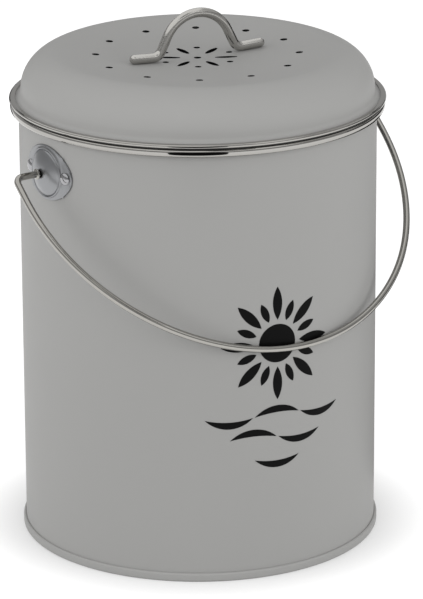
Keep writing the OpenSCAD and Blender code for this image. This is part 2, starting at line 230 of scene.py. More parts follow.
def join_pieces(pieces: list[Piece], name: str) -> Piece:
    """Joins pieces into one.

    Args:
        pieces: The pieces, used up.
        name: Name of the joined piece.

    Returns:
        The joined piece.
    """
    take(pieces[0])
    for piece in pieces:
        piece.select_set(True)
    bpy.ops.object.join()
    bpy.context.object.name = name
    return bpy.context.object


def apply_modifier(piece: Piece, kind: str, **settings: object) -> None:
    """Adds a modifier to a piece and applies it.

    Args:
        piece: The piece.
        kind: Blender's name of the modifier's type.
        **settings: Values of the modifier's fields.
    """
    take(piece)
    modifier = piece.modifiers.new(kind.title(), kind)
    for key, value in settings.items():
        setattr(modifier, key, value)
    bpy.ops.object.modifier_apply(modifier=modifier.name)


def carve(piece: Piece, cutter: Piece, operation: str = "DIFFERENCE") -> None:
    """Cuts a piece by another one, which is used up."""
    apply_modifier(piece, "BOOLEAN", object=cutter, operation=operation, solver="EXACT")
    bpy.data.objects.remove(cutter)


def slice_across(piece: Piece, places: list[float]) -> None:
    """Cuts a flat piece's faces across, so that it bends smoothly.

    Args:
        piece: The piece.
        places: Places of the cuts along X.
    """
    take(piece)
    bpy.ops.object.mode_set(mode="EDIT")
    for x in places:
        bpy.ops.mesh.select_all(action="SELECT")
        bpy.ops.mesh.bisect(plane_co=(x * MM, 0, 0), plane_no=(1, 0, 0))
    bpy.ops.object.mode_set(mode="OBJECT")


def loft(name: str, rings: list[Ring], sides: int = 192) -> Piece:
    """Draws one ring out through a list of rings round the Z axis.

    A list that starts or ends on the axis is closed there, any other list
    is closed back to its first ring.

    Args:
        name: Name of the new piece.
        rings: Half width along X, half width along Y and height of each ring.
        sides: Number of faces round the piece.

    Returns:
        The new piece.
    """
    clear_bench()
    on_axis = rings[0][0] == 0
    path = rings[1:] if on_axis else rings + rings[:1]
    half_x, half_y, height = path[0]
    bpy.ops.mesh.primitive_circle_add(
        vertices=sides, radius=half_x * MM, location=(0, 0, height * MM),
        fill_type="TRIFAN" if on_axis else "NOTHING")
    piece = bpy.context.object
    piece.name = name
    piece.scale.y = half_y / half_x
    apply_place()
    edit_all()
    if on_axis:
        bpy.ops.mesh.region_to_loop()
    for next_x, next_y, next_height in path[1:]:
        lift = (0, 0, (next_height - height) * MM)
        bpy.ops.mesh.extrude_edges_move(TRANSFORM_OT_translate={"value": lift})
        if next_x == 0:
            bpy.ops.mesh.merge(type="CENTER")
            break
        bpy.ops.transform.resize(value=(next_x / half_x, next_y / half_y, 1),
                                 center_override=(0, 0, next_height * MM))
        half_x, half_y, height = next_x, next_y, next_height
    return settle(piece)


def turned(name: str, outline: Outline, sides: int = 192) -> Piece:
    """Turns a section round the Z axis, as loft does.

    Args:
        name: Name of the new piece.
        outline: Radius and height of each point of the section.
        sides: Number of faces round the piece.

    Returns:
        The new piece.
    """
    return loft(name, [(radius, radius, height) for radius, height in outline], sides)


def wrap_on_wall(piece: Piece, radius: float, azimuth: float) -> None:
    """Bends a flat piece round the pail's wall.

    The piece is drawn flat, its width along X, its height along Y and its
    front towards +Z, with its back at zero.

    Args:
        piece: The piece.
        radius: Radius that its back bends to.
        azimuth: Angle of its middle, from the front (-Y) towards the right.
    """
    turn_piece(piece, 90, "X")
    width = piece.dimensions.x / MM
    apply_modifier(piece, "SIMPLE_DEFORM", deform_method="BEND", deform_axis="Z",
                   angle=width / radius)
    shift_piece(piece, 0, -radius, 0)
    turn_piece(piece, azimuth, "Z")


class WireBender:
    """Draws a round rod along straights and bends in the XY plane."""

    def __init__(self, name: str, x: float, y: float, heading: float,
                 radius: float, sides: int) -> None:
        """Starts the rod with a flat round end.

        Args:
            name: Name of the new piece.
            x: Place of the rod's start.
            y: Place of the rod's start.
            heading: Direction in which it sets off.
            radius: The rod's radius there.
            sides: Number of faces round the rod.
        """
        self.place = Vector((x, y, 0))
        self.heading = heading
        self.radius = radius
        clear_bench()
        bpy.ops.mesh.primitive_circle_add(
            vertices=sides, radius=radius * MM, location=self.place * MM, fill_type="NGON",
            rotation=(0, math.pi / 2, math.radians(heading)))
        self.piece = bpy.context.object
        self.piece.name = name
        apply_place()
        edit_all()
        bpy.ops.mesh.region_to_loop()

    def ahead(self) -> Vector:
        """Unit vector along the rod's heading."""
        angle = math.radians(self.heading)
        return Vector((math.cos(angle), math.sin(angle), 0))

    def run(self, length: float, radius: float | None = None) -> None:
        """Draws the rod straight on.

        Args:
            length: Length of the straight.
            radius: The rod's radius at its end, where it changes.
        """
        step = self.ahead() * length
        self.place = self.place + step
        bpy.ops.mesh.extrude_edges_move(TRANSFORM_OT_translate={"value": step * MM})
        if radius is not None:
            factor = radius / self.radius
            bpy.ops.transform.resize(value=(factor,) * 3, center_override=self.place * MM)
            self.radius = radius

    def bend(self, bend_radius: float, angle: float, steps: int) -> None:
        """Bends the rod; Blender's spin turns against the angle it is given.

        Args:
            bend_radius: Radius of the bend at the rod's middle.
            angle: Angle of the bend, to the left where it is positive.
            steps: Number of chords.
        """
        side = math.copysign(1, angle)
        left = Vector((-self.ahead().y, self.ahead().x, 0))
        centre = self.place + left * side * bend_radius
        bpy.ops.mesh.spin(steps=steps, angle=-math.radians(angle),
                          center=centre * MM, axis=(0, 0, 1))
        self.heading += angle
        self.place = centre + Matrix.Rotation(math.radians(angle), 3, "Z") @ (self.place - centre)

    def swell(self, profile: Outline) -> None:
        """Draws the rod straight on through changes of its radius.

        Args:
            profile: Distance from here and radius of each change.
        """
        gone = 0.0
        for distance, radius in profile:
            self.run(distance - gone, radius)
            gone = distance

    def finish(self) -> Piece:
        """Closes the rod's end and gives the piece."""
        bpy.ops.mesh.edge_face_add()
        return settle(self.piece, smooth=40)


class Pen:
    """Draws a flat outline in the XY plane with one point, along lines and arcs."""

    def __init__(self, name: str, x: float, y: float, z: float = 0) -> None:
        """Puts the point down.

        Args:
            name: Name of the new piece.
            x: The point's place.
            y: The point's place.
            z: Height of the drawing's plane.
        """
        clear_bench()
        bpy.ops.mesh.primitive_plane_add(size=MM, location=(x * MM, y * MM, z * MM))
        self.piece = bpy.context.object
        self.piece.name = name
        apply_place()
        edit_all()
        bpy.ops.mesh.merge(type="CENTER")
        self.height = z

    def line(self, dx: float, dy: float, steps: int = 1) -> None:
        """Draws a straight line.

        Args:
            dx: Its length along X.
            dy: Its length along Y.
            steps: Number of its parts.
        """
        step = (dx / steps * MM, dy / steps * MM, 0)
        for _ in range(steps):
            bpy.ops.mesh.extrude_vertices_move(TRANSFORM_OT_translate={"value": step})

    def arc(self, x: float, y: float, angle: float, steps: int) -> None:
        """Draws an arc round a centre, to the left where the angle is positive."""
        bpy.ops.mesh.spin(steps=steps, angle=-math.radians(angle),
                          center=(x * MM, y * MM, self.height * MM), axis=(0, 0, 1))

    def fill(self, thickness: float) -> Piece:
        """Closes the outline, fills it and draws it up to a plate.

        Args:
            thickness: The plate's thickness.

        Returns:
            The new piece.
        """
        bpy.ops.mesh.select_all(action="SELECT")
        bpy.ops.mesh.remove_doubles(threshold=MERGE_WITHIN)
        bpy.ops.mesh.edge_face_add()
        bpy.ops.mesh.extrude_region_move(TRANSFORM_OT_translate={"value": (0, 0, thickness * MM)})
        return settle(self.piece)


def lens(name: str, x: float, length: float, bulges: Pair, z: float, thickness: float,
         steps: int = 16, tip: float = 0) -> Piece:
    """Draws a plate between two arcs, its length along X.

    Args:
        name: Name of the new piece.
        x: Place of its middle on the X axis.
        length: Its length from end to end.
        bulges: How far each arc bulges from the middle, towards -Y and +Y; a
            negative one bulges the other way.
        z: Height of its lower face.
        thickness: Its thickness.
        steps: Number of chords of an arc.
        tip: Width of its ends, zero for pointed ones.

    Returns:
        The new piece.
    """
    pen = Pen(name, x - length / 2, -tip / 2, z)
    for side, bulge in zip((-1, 1), bulges):
        radius = ((length / 2) ** 2 + bulge ** 2) / (2 * abs(bulge))
        sweep = 2 * math.degrees(math.asin(length / 2 / radius)) * math.copysign(1, bulge)
        pen.arc(x, side * (tip / 2 + bulge - math.copysign(radius, bulge)), sweep, steps)
        if tip:
            pen.line(0, -side * tip)
    return pen.fill(thickness)


# ---------------------------------------------------------------- finishes


class Board:
    """A node tree with short calls to add and join its nodes."""

    def __init__(self, tree: bpy.types.NodeTree) -> None:
        """Takes the tree to work on."""
        self.tree = tree

    def add(self, kind: str, inputs: dict[str | int, object] | None = None,
            **settings: object) -> bpy.types.Node:
        """Adds a node.

        Args:
            kind: Blender's name of the node's type.
            inputs: Values for its inputs, or the outputs that feed them.
            **settings: Values of the node's own fields.

        Returns:
            The new node.
        """
        node = self.tree.nodes.new(kind)
        for key, value in settings.items():
            setattr(node, key, value)
        self.feed(node, inputs or {})
        return node

    def feed(self, node: bpy.types.Node, inputs: dict[str | int, object]) -> None:
        """Gives a node's inputs their values.

        Args:
            node: The node.
            inputs: Values for its inputs, or the outputs that feed them.
        """
        for key, value in inputs.items():
            if isinstance(value, Socket):
                self.tree.links.new(value, node.inputs[key])
            else:
                node.inputs[key].default_value = value

    def math(self, operation: str, first: object, second: object = 0.0) -> Socket:
        """Gives the output of a Math node on two values or sockets."""
        return self.add("ShaderNodeMath", {0: first, 1: second}, operation=operation).outputs[0]

    def spread(self, value: Socket, low: object, high: object) -> Socket:
        """Spreads a value between 0 and 1 to a range."""
        node = self.add("ShaderNodeMapRange", {"Value": value, "To Min": low, "To Max": high})
        return node.outputs["Result"]

    def blend(self, first: Socket, second: Socket, share: float) -> Socket:
        """Mixes two values, the first by its share."""
        rest = self.math("MULTIPLY", second, 1 - share)
        return self.math("ADD", self.math("MULTIPLY", first, share), rest)

    def noise(self, vector: Socket, scale: object, detail: float = 2) -> Socket:
        """Gives a noise value over a vector."""
        inputs = {"Vector": vector, "Scale": scale, "Detail": detail}
        return self.add("ShaderNodeTexNoise", inputs).outputs["Fac"]


class MarkingGroup(Board):
    """A shader node group that marks a finish by height, tone and roughness."""

    def __init__(self, name: str, inputs: dict[str, float]) -> None:
        """Starts the group.

        Args:
            name: Name of the group.
            inputs: Its inputs and their usual values, a roughness and its
                spread among them.
        """
        super().__init__(bpy.data.node_groups.new(name, "ShaderNodeTree"))
        self.sockets("INPUT", inputs)
        self.sockets("OUTPUT", {"Height": 0.0, "Tone": 0.0, "Roughness": 0.0})
        self.given = self.add("NodeGroupInput").outputs
        self.place = self.add("ShaderNodeTexCoord").outputs["Object"]

    def sockets(self, way: str, values: dict[str, float]) -> None:
        """Gives the group its sockets on one side.

        Args:
            way: INPUT or OUTPUT.
            values: Names and usual values of the sockets.
        """
        for key, value in values.items():
            socket = self.tree.interface.new_socket(
                name=key, in_out=way, socket_type="NodeSocketFloat")
            socket.default_value = value

    def close(self, height: Socket, tone: Socket, marks: Socket) -> bpy.types.NodeTree:
        """Joins the group's outputs.

        Args:
            height: Height of the marks.
            tone: How light they are.
            marks: What the roughness follows within its spread.

        Returns:
            The group's tree.
        """
        low, high = (self.math(way, self.given["Roughness"], self.given["Spread"])
                     for way in ("SUBTRACT", "ADD"))
        self.add("NodeGroupOutput", {
            "Height": height, "Tone": tone, "Roughness": self.spread(marks, low, high)})
        return self.tree


@cache
def powder_grain() -> bpy.types.NodeTree:
    """The orange peel, fine grit and slow drift of a powder coat.

    Returns:
        The marking group, made once.
    """
    group = MarkingGroup("powder_grain", {
        "Peel Scale": 700, "Grit Scale": 4200, "Roughness": 0.5, "Spread": 0.06})
    peel = group.noise(group.place, group.given["Peel Scale"], 1.5)
    grit = group.noise(group.place, group.given["Grit Scale"], 1)
    drift = group.noise(group.place, 9, 3)
    cloud = group.noise(group.place, 42, 2)
    return group.close(group.blend(peel, grit, 0.75), group.blend(drift, cloud, 0.6), cloud)


@cache
def polish_marks() -> bpy.types.NodeTree:
    """Buffing haze, fine scratches and faint waviness of polished steel.

    Returns:
        The marking group, made once.
    """
    group = MarkingGroup("polish_marks", {
        "Roughness": 0.1, "Spread": 0.05, "Scratch Scale": 900, "Stretch": 0.06})
    haze = group.noise(group.place, 60, 3)
    wave = group.noise(group.place, 150, 0)
    stretch = group.add("ShaderNodeCombineXYZ", {
        "X": 1.0, "Y": 1.0, "Z": group.given["Stretch"]}).outputs[0]
    drawn = group.add("ShaderNodeVectorMath", {0: group.place, 1: stretch}, operation="MULTIPLY")
    scratch = group.noise(drawn.outputs[0], group.given["Scratch Scale"], 3)
    return group.close(group.blend(scratch, wave, 0.2), haze, group.blend(haze, scratch, 0.6))


@cache
def turned_lines() -> bpy.types.NodeTree:
    """Lines drawn round the Z axis on spun or rolled sheet.

    Returns:
        The marking group, made once.
    """
    group = MarkingGroup("turned_lines", {"Line Scale": 2600, "Roughness": 0.2, "Spread": 0.1})
    x, y, z = group.add("ShaderNodeSeparateXYZ", {0: group.place}).outputs
    squares = [group.math("POWER", side, 2.0) for side in (x, y)]
    across = group.math("POWER", group.math("ADD", *squares), 0.5)
    streak = 0.0012
    around = group.math("MULTIPLY", group.math("ARCTAN2", y, x), streak)
    flat = group.add("ShaderNodeCombineXYZ", {"X": across, "Y": z, "Z": around})
    lines = group.noise(flat.outputs[0], group.given["Line Scale"], 3)
    return group.close(lines, group.noise(group.place, 35, 2), lines)


@dataclass(frozen=True)
class Finish:
    """What every finish has: a name, a colour and how a group marks it."""

    name: str
    colour: Rgb
    roughness: float
    spread: float = 0.05
    tone_spread: float = 0.03
    bump_depth: float = 0.01
    metallic: float = 0.0
    shine: float = 0.5

    def group(self) -> bpy.types.NodeTree:
        """The finish's marking group; a plain finish has the powder's grain."""
        return powder_grain()

    def values(self) -> dict[str, float]:
        """Values for the group's inputs."""
        return {"Roughness": self.roughness, "Spread": self.spread}

    @cache
    def material(self) -> bpy.types.Material:
        """Makes the material, once for each finish.

        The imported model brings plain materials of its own, named after the
        record's slots, so a name found among Blender's materials proves nothing.

        Returns:
            The material.
        """
        made = bpy.data.materials.new(self.name)
        made.use_nodes = True
        board = Board(made.node_tree)
        marks = board.add("ShaderNodeGroup", self.values(), node_tree=self.group()).outputs
        shade = board.spread(marks["Tone"], 1 - self.tone_spread, 1 + self.tone_spread)
        colour = board.add("ShaderNodeVectorMath", {0: self.colour, "Scale": shade},
                           operation="SCALE")
        bump = board.add("ShaderNodeBump", {
            "Height": marks["Height"], "Distance": self.bump_depth * MM})
        board.feed(made.node_tree.nodes["Principled BSDF"], {
            "Base Color": colour.outputs[0], "Roughness": marks["Roughness"],
            "Normal": bump.outputs["Normal"], "Metallic": self.metallic,
            "Specular IOR Level": self.shine})
        return made


@dataclass(frozen=True)
class PowderCoat(Finish):
    """Satin powder coat."""

    peel_scale: float = 700
    shine: float = 0.35

    def values(self) -> dict[str, float]:
        """Adds the coat's own scale."""
        return {**super().values(), "Peel Scale": self.peel_scale}


@dataclass(frozen=True)
class PolishedSteel(Finish):
    """Polished stainless steel, drawn along one direction."""

    metallic: float = 1.0
    scratch_scale: float = 900

    def group(self) -> bpy.types.NodeTree:
        """The polisher's marks."""
        return polish_marks()

    def values(self) -> dict[str, float]:
        """Adds the scratches' scale."""
        return {**super().values(), "Scratch Scale": self.scratch_scale}


@dataclass(frozen=True)
class SpunSteel(Finish):
    """Steel with lines round the pail's axis."""

    metallic: float = 1.0
    line_scale: float = 2600

    def group(self) -> bpy.types.NodeTree:
        """The turned lines."""
        return turned_lines()

    def values(self) -> dict[str, float]:
        """Adds the lines' scale."""
        return {**super().values(), "Line Scale": self.line_scale}


@dataclass(frozen=True)
class CoalFoam(Finish):
    """Open foam filled with carbon, its pores drawn by the grain's peel."""

    pore_scale: float = 900

    def values(self) -> dict[str, float]:
        """Adds the pores' scale."""
        return {**super().values(), "Peel Scale": self.pore_scale}


GREY_COAT = PowderCoat("grey_powder_coat", (0.360, 0.358, 0.350), 0.52,
                       tone_spread=0.02, bump_depth=0.012)
BRIGHT_TRIM = SpunSteel("polished_rolled_trim", (0.41, 0.40, 0.38), 0.06,
                        spread=0.02, bump_depth=0.002)
BRIGHT_ROD = PolishedSteel("drawn_bail_wire", (0.40, 0.39, 0.365), 0.07, spread=0.02)
SATIN_ROD = PolishedSteel("satin_grip_rod", (0.53, 0.52, 0.495), 0.20, spread=0.04)
PRESSED_STEEL = PolishedSteel("pressed_ear_steel", (0.31, 0.315, 0.325), 0.34,
                              spread=0.06, bump_depth=0.012)
RIVET_STEEL = PolishedSteel("bright_rivet_heads", (0.38, 0.38, 0.39), 0.14)
PLAIN_SHEET = SpunSteel("plain_steel_sheet", (0.56, 0.56, 0.55), 0.30,
                        spread=0.10, bump_depth=0.006)
SEAL_RUBBER = Finish("black_silicone", (0.018, 0.018, 0.018), 0.62)
TRAY_PLASTIC = Finish("moulded_tray_plastic", (0.028, 0.028, 0.029), 0.48, bump_depth=0.02)
COAL_FOAM = CoalFoam("carbon_filled_foam", (0.006, 0.006, 0.007), 0.9,
                     tone_spread=0.5, bump_depth=0.5, shine=0.1)
# Near-black for the vents' side walls: painted shade that stands for the dark inside the holes.
VENT_PAINTED_SHADE = Finish("vent_painted_shade", (0.008, 0.008, 0.008), 0.7, shine=0.1)
PRINT_INK = Finish("black_print", (0.004, 0.004, 0.004), 0.42, bump_depth=0.006, shine=0.06)


def hand_in(piece: Piece, body: Body, finish: Finish,
            replaces: tuple[str, ...] = ()) -> None:
    """Dresses a piece and lets it ride on its body.

    Args:
        piece: The finished piece.
        body: Body that it moves with.
        finish: The finish.
        replaces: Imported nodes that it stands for.
    """
    if not piece.data.materials:
        piece.data.materials.append(finish.material())
    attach(piece, body.value)
    if replaces:
        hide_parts(*replaces)
    log.info("%s: %d faces on %s", piece.name, len(piece.data.polygons), body.value)


def coat_node(node: str, finish: Finish) -> None:
    """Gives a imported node, whose shape stays, its finish.

    Args:
        node: Name of the node.
        finish: The finish.
    """
    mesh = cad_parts[node].data
    mesh.materials.clear()
    mesh.materials.append(finish.material())
    log.info("%s: packed shape kept", node)


# -------------------------------------------------------------------- pail


@dataclass
class Pail:
    """Painted wall, its back seam, the seamed base and the bare rolled rim."""

    wall_r: float = 100
    wall_ri: float = 99.4
    height: float = 250
    base_z: float = 6.5
    base_rise: float = 1.6
    sheet_t: float = 0.6
    base_mid_r: float = 79.35
    base_corner: float = 2.5
    foot_r: float = 101.6
    foot_h: float = 5
    foot_round: float = 1.2
    foot_lip: float = 0.2
    rim_r: float = 104.7
    rim_h: float = 4.6
    rim_round: float = 1.9
    seam_w: float = 9
    seam_t: float = 0.4
    seam_gap: float = 0.1
    seam_round: float = 0.15
    seam_cuts: tuple[float, ...] = (-3, -1.5, 0, 1.5, 3)
    wall_tuck: float = 0.4
    rim_tuck: float = 0.55
    rim_inner_round: float = 0.8
    step_round: float = 2
    hem_round: float = 0.3
    fit: float = 0.03

    def wall(self) -> Piece:
        """The wall, drawn up from the foot into the rim.

        Returns:
            The new piece.
        """
        bottom = self.sheet_t + self.fit
        top = self.height - self.rim_h + self.wall_tuck
        return turned("pail_wall", [
            (self.wall_ri, bottom), (self.wall_ri, top), (self.wall_r, top), (self.wall_r, bottom)])

    def seam(self) -> Piece:
        """The lap down the back, a thin strip bent to the wall.

        Returns:
            The new piece.
        """
        clear_bench()
        top = self.height - self.rim_h - self.seam_gap
        bottom = self.foot_h + self.seam_gap
        bpy.ops.mesh.primitive_cube_add(
            size=1, location=(0, (top + bottom) / 2 * MM, self.seam_t / 2 * MM))
        strip = bpy.context.object
        strip.name = "pail_seam"
        strip.scale = (self.seam_w * MM, (top - bottom) * MM, self.seam_t * MM)
        apply_place()
        slice_across(strip, list(self.seam_cuts))
        apply_modifier(strip, "BEVEL", width=self.seam_round * MM, segments=2,
                       limit_method="ANGLE")
        wrap_on_wall(strip, self.wall_r, 180)
        return settle(strip)

    def base(self) -> Piece:
        """The base panel with its raised middle, folded round the wall's foot.

        Returns:
            The new piece.
        """
        inner = self.wall_ri - self.fit
        outer = self.wall_r + self.fit
        top = self.base_z + self.sheet_t
        corner = (inner - self.sheet_t - self.base_corner, self.base_z - self.base_corner)
        upper = (self.base_mid_r - self.base_rise, top + self.base_rise)
        lower = (self.base_mid_r + self.base_rise, top)
        middle = (self.base_mid_r, top + self.base_rise / 2)
        bead_x = self.foot_r - self.foot_round
        hem_x = inner - self.sheet_t + self.hem_round
        return turned("pail_base_panel", [
            (0, upper[1]),
            *soft_corner((upper[0] - self.step_round, upper[1]), upper, middle, 4),
            *soft_corner(middle, lower, (lower[0] + self.step_round, lower[1]), 4),
            *arc(corner, self.base_corner + self.sheet_t, 90, 0, 6),
            (inner, self.sheet_t),
            (outer, self.sheet_t),
            (outer, self.foot_h - self.foot_lip),
            *arc((bead_x, self.foot_h - self.foot_round), self.foot_round, 90, 0, 8),
            *arc((bead_x, self.foot_round), self.foot_round, 0, -90, 8),
            *arc((hem_x, self.hem_round), self.hem_round, 270, 180, 3),
            *arc(corner, self.base_corner, 0, 90, 6),
            (lower[0], self.base_z),
            (upper[0], self.base_z + self.base_rise),
            (0, self.base_z + self.base_rise),
        ])

    def rim(self) -> Piece:
        """The rolled rim."""
        return turned("pail_rolled_rim", bead_outline(
            self.wall_ri - self.rim_tuck, self.rim_r, self.height - self.rim_h, self.height,
            self.rim_inner_round, self.rim_round))

    def build(self) -> None:
        """Models the pail's pieces and hands them in."""
        hand_in(self.wall(), Body.PAIL, GREY_COAT, ("pail_shell",))
        hand_in(self.seam(), Body.PAIL, GREY_COAT)
        hand_in(self.base(), Body.PAIL, GREY_COAT, ("pail_base",))
        hand_in(self.rim(), Body.PAIL, BRIGHT_TRIM, ("pail_rim",))


# -------------------------------------------------------------------- ears


@dataclass
class Ears:
    """Two pressed ears with their rivets."""

    wall_r: float = 100.05
    centre_z: float = 224.1
    half_l: float = 21.7
    half_w: float = 15.4
    end_r: float = 9.9
    plate_t: float = 1.1
    edge: float = 0.5
    dome_r: float = 12.8
    dome_out: float = 5.74
    lip_h: float = 1.3
    hole_r: float = 2.3
    rivet_x: float = 16.9
    head_r: float = 3.5
    head_h: float = 1.9
    head_top_r: float = 0.8
    shank_r: float = 2
    wall_depth: float = 0.65
    inner_head_r: float = 3
    inner_head_h: float = 1
    dome_rings: tuple[float, ...] = (3.5, 5, 6.5, 8, 9.5, 11, 12)
    inner_rings: tuple[float, ...] = (11, 9, 7, 5)
    plate_rings: tuple[float, ...] = (16.5, 18, 19.5, 21, 23)
    cutter_reach: float = 1
    near: float = 0.05
    level_within: float = 0.01
    end_x: float = field(init=False)
    side_r: float = field(init=False)

    def __post_init__(self) -> None:
        """Works out the middles and the radius of the oval's four arcs."""
        self.end_x = self.half_l - self.end_r
        self.side_r = ((self.end_x ** 2 + self.half_w ** 2 - self.end_r ** 2)
                       / (2 * (self.half_w - self.end_r)))

    def blank(self) -> Piece:
        """Flat oval of four arcs that the ear is cut to.

        Returns:
            The new piece.
        """
        side_y = self.side_r - self.half_w
        half = math.degrees(math.atan2(side_y, self.end_x))
        joint = math.radians(half)
        pen = Pen("ear_blank", self.end_x + self.end_r * math.cos(joint),
                  -self.end_r * math.sin(joint), -self.cutter_reach)
        for turn in (1, -1):
            pen.arc(turn * self.end_x, 0, 2 * half, 24)
            pen.arc(0, -turn * side_y, 180 - 2 * half, 40)
        return pen.fill(self.plate_t + self.dome_out + 2 * self.cutter_reach)

    def plate(self, name: str) -> Piece:
        """One ear, turned flat with its dome, groove and lip, then cut to its oval.

        Args:
            name: Name of the new piece.

        Returns:
            The new piece.
        """
        foot = (self.dome_r - 0.1, self.plate_t + 0.7 * self.lip_h)
        rise = self.dome_out - foot[1]
        ball = (foot[0] ** 2 + rise ** 2) / (2 * rise)
        centre = self.dome_out - ball
        inner = ball - self.plate_t
        inner_foot = math.sqrt(inner ** 2 - centre ** 2)

        def dome(radius: float, reach: float) -> float:
            """Height of the dome's outer or inner face at a radius."""
            return centre + math.sqrt(reach ** 2 - radius ** 2)

        lip = soft_corner((foot[0] + 0.5, self.plate_t + 0.75 * self.lip_h),
                          (self.dome_r + 1, self.plate_t + 1.3 * self.lip_h),
                          (self.dome_r + 1.5, self.plate_t + 0.25 * self.lip_h), 6)
        disc = turned(name, [
            (self.hole_r, dome(self.hole_r, inner) + 0.1),
            (self.hole_r, dome(self.hole_r, ball) - 0.3),
            *[(r, dome(r, ball)) for r in (self.hole_r + 0.3, *self.dome_rings, foot[0])],
            (foot[0] + 0.2, foot[1] - 0.35),
            *lip,
            *[(r, self.plate_t) for r in (self.dome_r + 2.1, *self.plate_rings)],
            *[(r, 0) for r in (*self.plate_rings[::-1], self.dome_r + 1.5, inner_foot)],
            *[(r, dome(r, inner)) for r in (*self.inner_rings, self.hole_r + 0.2)],
        ], 96)
        carve(disc, self.blank(), "INTERSECT")
        settle(disc)
        self.round_edge(disc)
        return settle(disc)

    def round_edge(self, plate: Piece) -> None:
        """Rounds the outer edge of an ear's face.

        Args:
            plate: The ear, still flat.
        """
        bpy.ops.object.mode_set(mode="EDIT")
        bpy.ops.mesh.select_all(action="DESELECT")
        bpy.ops.object.mode_set(mode="OBJECT")
        points = plate.data.vertices
        for line in plate.data.edges:
            line.select = all(self.on_edge(points[i].co / MM) for i in line.vertices)
        bpy.ops.object.mode_set(mode="EDIT")
        bpy.ops.mesh.select_mode(type="EDGE")
        bpy.ops.mesh.bevel(offset=self.edge * MM, segments=3)
        bpy.ops.mesh.select_mode(type="VERT")
        bpy.ops.object.mode_set(mode="OBJECT")

    def on_edge(self, point: Vector) -> bool:
        """Whether a point lies on the outline of the ear's face.

        Args:
            point: The point, on the flat ear.

        Returns:
            Whether it does.
        """
        from_end = math.hypot(abs(point.x) - self.end_x, point.y) - self.end_r
        from_side = (math.hypot(point.x, abs(point.y) + self.side_r - self.half_w)
                     - self.side_r)
        on_face = abs(point.z - self.plate_t) < self.level_within
        return on_face and (abs(from_end) < self.near or abs(from_side) < self.near)

    def rivet(self, name: str) -> Piece:
        """One rivet, drawn flat: domed head, shank and the closed head inside.

        Args:
            name: Name of the new piece.

        Returns:
            The new piece.
        """
        seat = self.plate_t
        top = seat + self.head_h
        back = -self.wall_depth
        return turned(name, [
            (0, top),
            *soft_corner((self.head_top_r, top),
                         (self.head_r * 0.8, seat + self.head_h * 0.92),
                         (self.head_r, seat + 0.35), 8),
            (self.head_r - 0.15, seat + 0.02), (self.shank_r, seat + 0.01),
            (self.shank_r, back),
            (self.inner_head_r - 0.1, back - 0.05 * self.inner_head_h),
            (self.inner_head_r, back - 0.5 * self.inner_head_h),
            (self.inner_head_r - 0.4, back - 0.95 * self.inner_head_h),
            (0, back - self.inner_head_h)], 48)

    def build(self) -> None:
        """Models both ears and their rivets and hands them in."""
        for side, azimuth in (("left", -90), ("right", 90)):
            ear = self.plate(f"{side}_ear_plate")
            wrap_on_wall(ear, self.wall_r, azimuth)
            shift_piece(ear, 0, 0, self.centre_z)
            hand_in(settle(ear), Body.PAIL, PRESSED_STEEL, (f"{side}_ear",))
            turn = math.degrees(math.asin(self.rivet_x / (self.wall_r + self.plate_t)))
            rivets = []
            for place, angle in (("front", -turn), ("back", turn)):
                rivet = self.rivet(f"{side}_{place}_rivet")
                turn_piece(rivet, 90, "X")
                shift_piece(rivet, 0, -self.wall_r, self.centre_z)
                turn_piece(rivet, azimuth + angle, "Z")
                rivets.append(rivet)
            pair = join_pieces(rivets, f"{side}_rivet_pair")
            hand_in(settle(pair), Body.PAIL, RIVET_STEEL, (f"{side}_ear_rivets",))


# -------------------------------------------------------------------- bail


@dataclass
class Bail:
    """Wire bail that hangs against the pail's front."""

    pivot_z: float = 224.1
    wall_r: float = 100
    wire_r: float = 1.9
    half_w: float = 121
    reach: float = 136.9
    grip_r: float = 116.5
    blend: float = 21.7
    elbow_r: float = 4.5
    collar_r: float = 3
    collar_x: float = 106.3
    collar_w: float = 1.6
    head_x: float = 100.6
    head_w: float = 1.8
    head_round: float = 0.3
    collar_round: float = 0.25
    rest_gap: float = 0.15

    def wire(self) -> Piece:
        """The wire, bent flat from the left ear to the right one, then tilted.

        Returns:
            The new piece.
        """
        lean = math.sin(math.radians(self.blend))
        side_r = (self.half_w - self.grip_r * lean) / (1 - lean)
        side_drop = (self.reach - self.grip_r
                     - (side_r - self.grip_r) * math.cos(math.radians(self.blend)))
        start_r = self.collar_r - self.head_round
        bender = WireBender("bail_wire", -self.head_x, 0, 180, start_r, 32)
        head = [(self.head_round, self.collar_r),
                (self.head_w - self.head_round, self.collar_r), (self.head_w, self.wire_r)]
        first = self.collar_x - self.head_x
        last = first + self.collar_w
        step = self.collar_round
        collar = [(first, self.wire_r), (first + step, self.collar_r - step),
                  (first + 2 * step, self.collar_r), (last - 2 * step, self.collar_r),
                  (last - step, self.collar_r - step), (last, self.wire_r)]
        bender.swell(head + collar)
        straight = self.half_w - self.elbow_r - self.collar_x - self.collar_w
        elbow = (self.elbow_r, 90, 12)
        side = (side_r, 90 - self.blend, 36)
        bender.run(straight)
        bender.bend(*elbow)
        bender.run(side_drop - self.elbow_r)
        bender.bend(*side)
        bender.bend(self.grip_r, 2 * self.blend, 28)
        bender.bend(*side)
        bender.run(side_drop - self.elbow_r)
        bender.bend(*elbow)
        bender.run(straight)
        back = [(last - distance, radius) for distance, radius in reversed(head + collar)]
        bender.swell(back[1:] + [(last, start_r)])
        wire = bender.finish()
        hang = self.wall_r + self.wire_r + self.rest_gap
        turn_piece(wire, 90 - math.degrees(math.asin(hang / self.reach)), "X")
        shift_piece(wire, 0, 0, self.pivot_z)
        return wire

    def build(self) -> None:
        """Models the bail and hands it in."""
        hand_in(self.wire(), Body.BAIL, BRIGHT_ROD, ("bail",))


# --------------------------------------------------------------------- lid


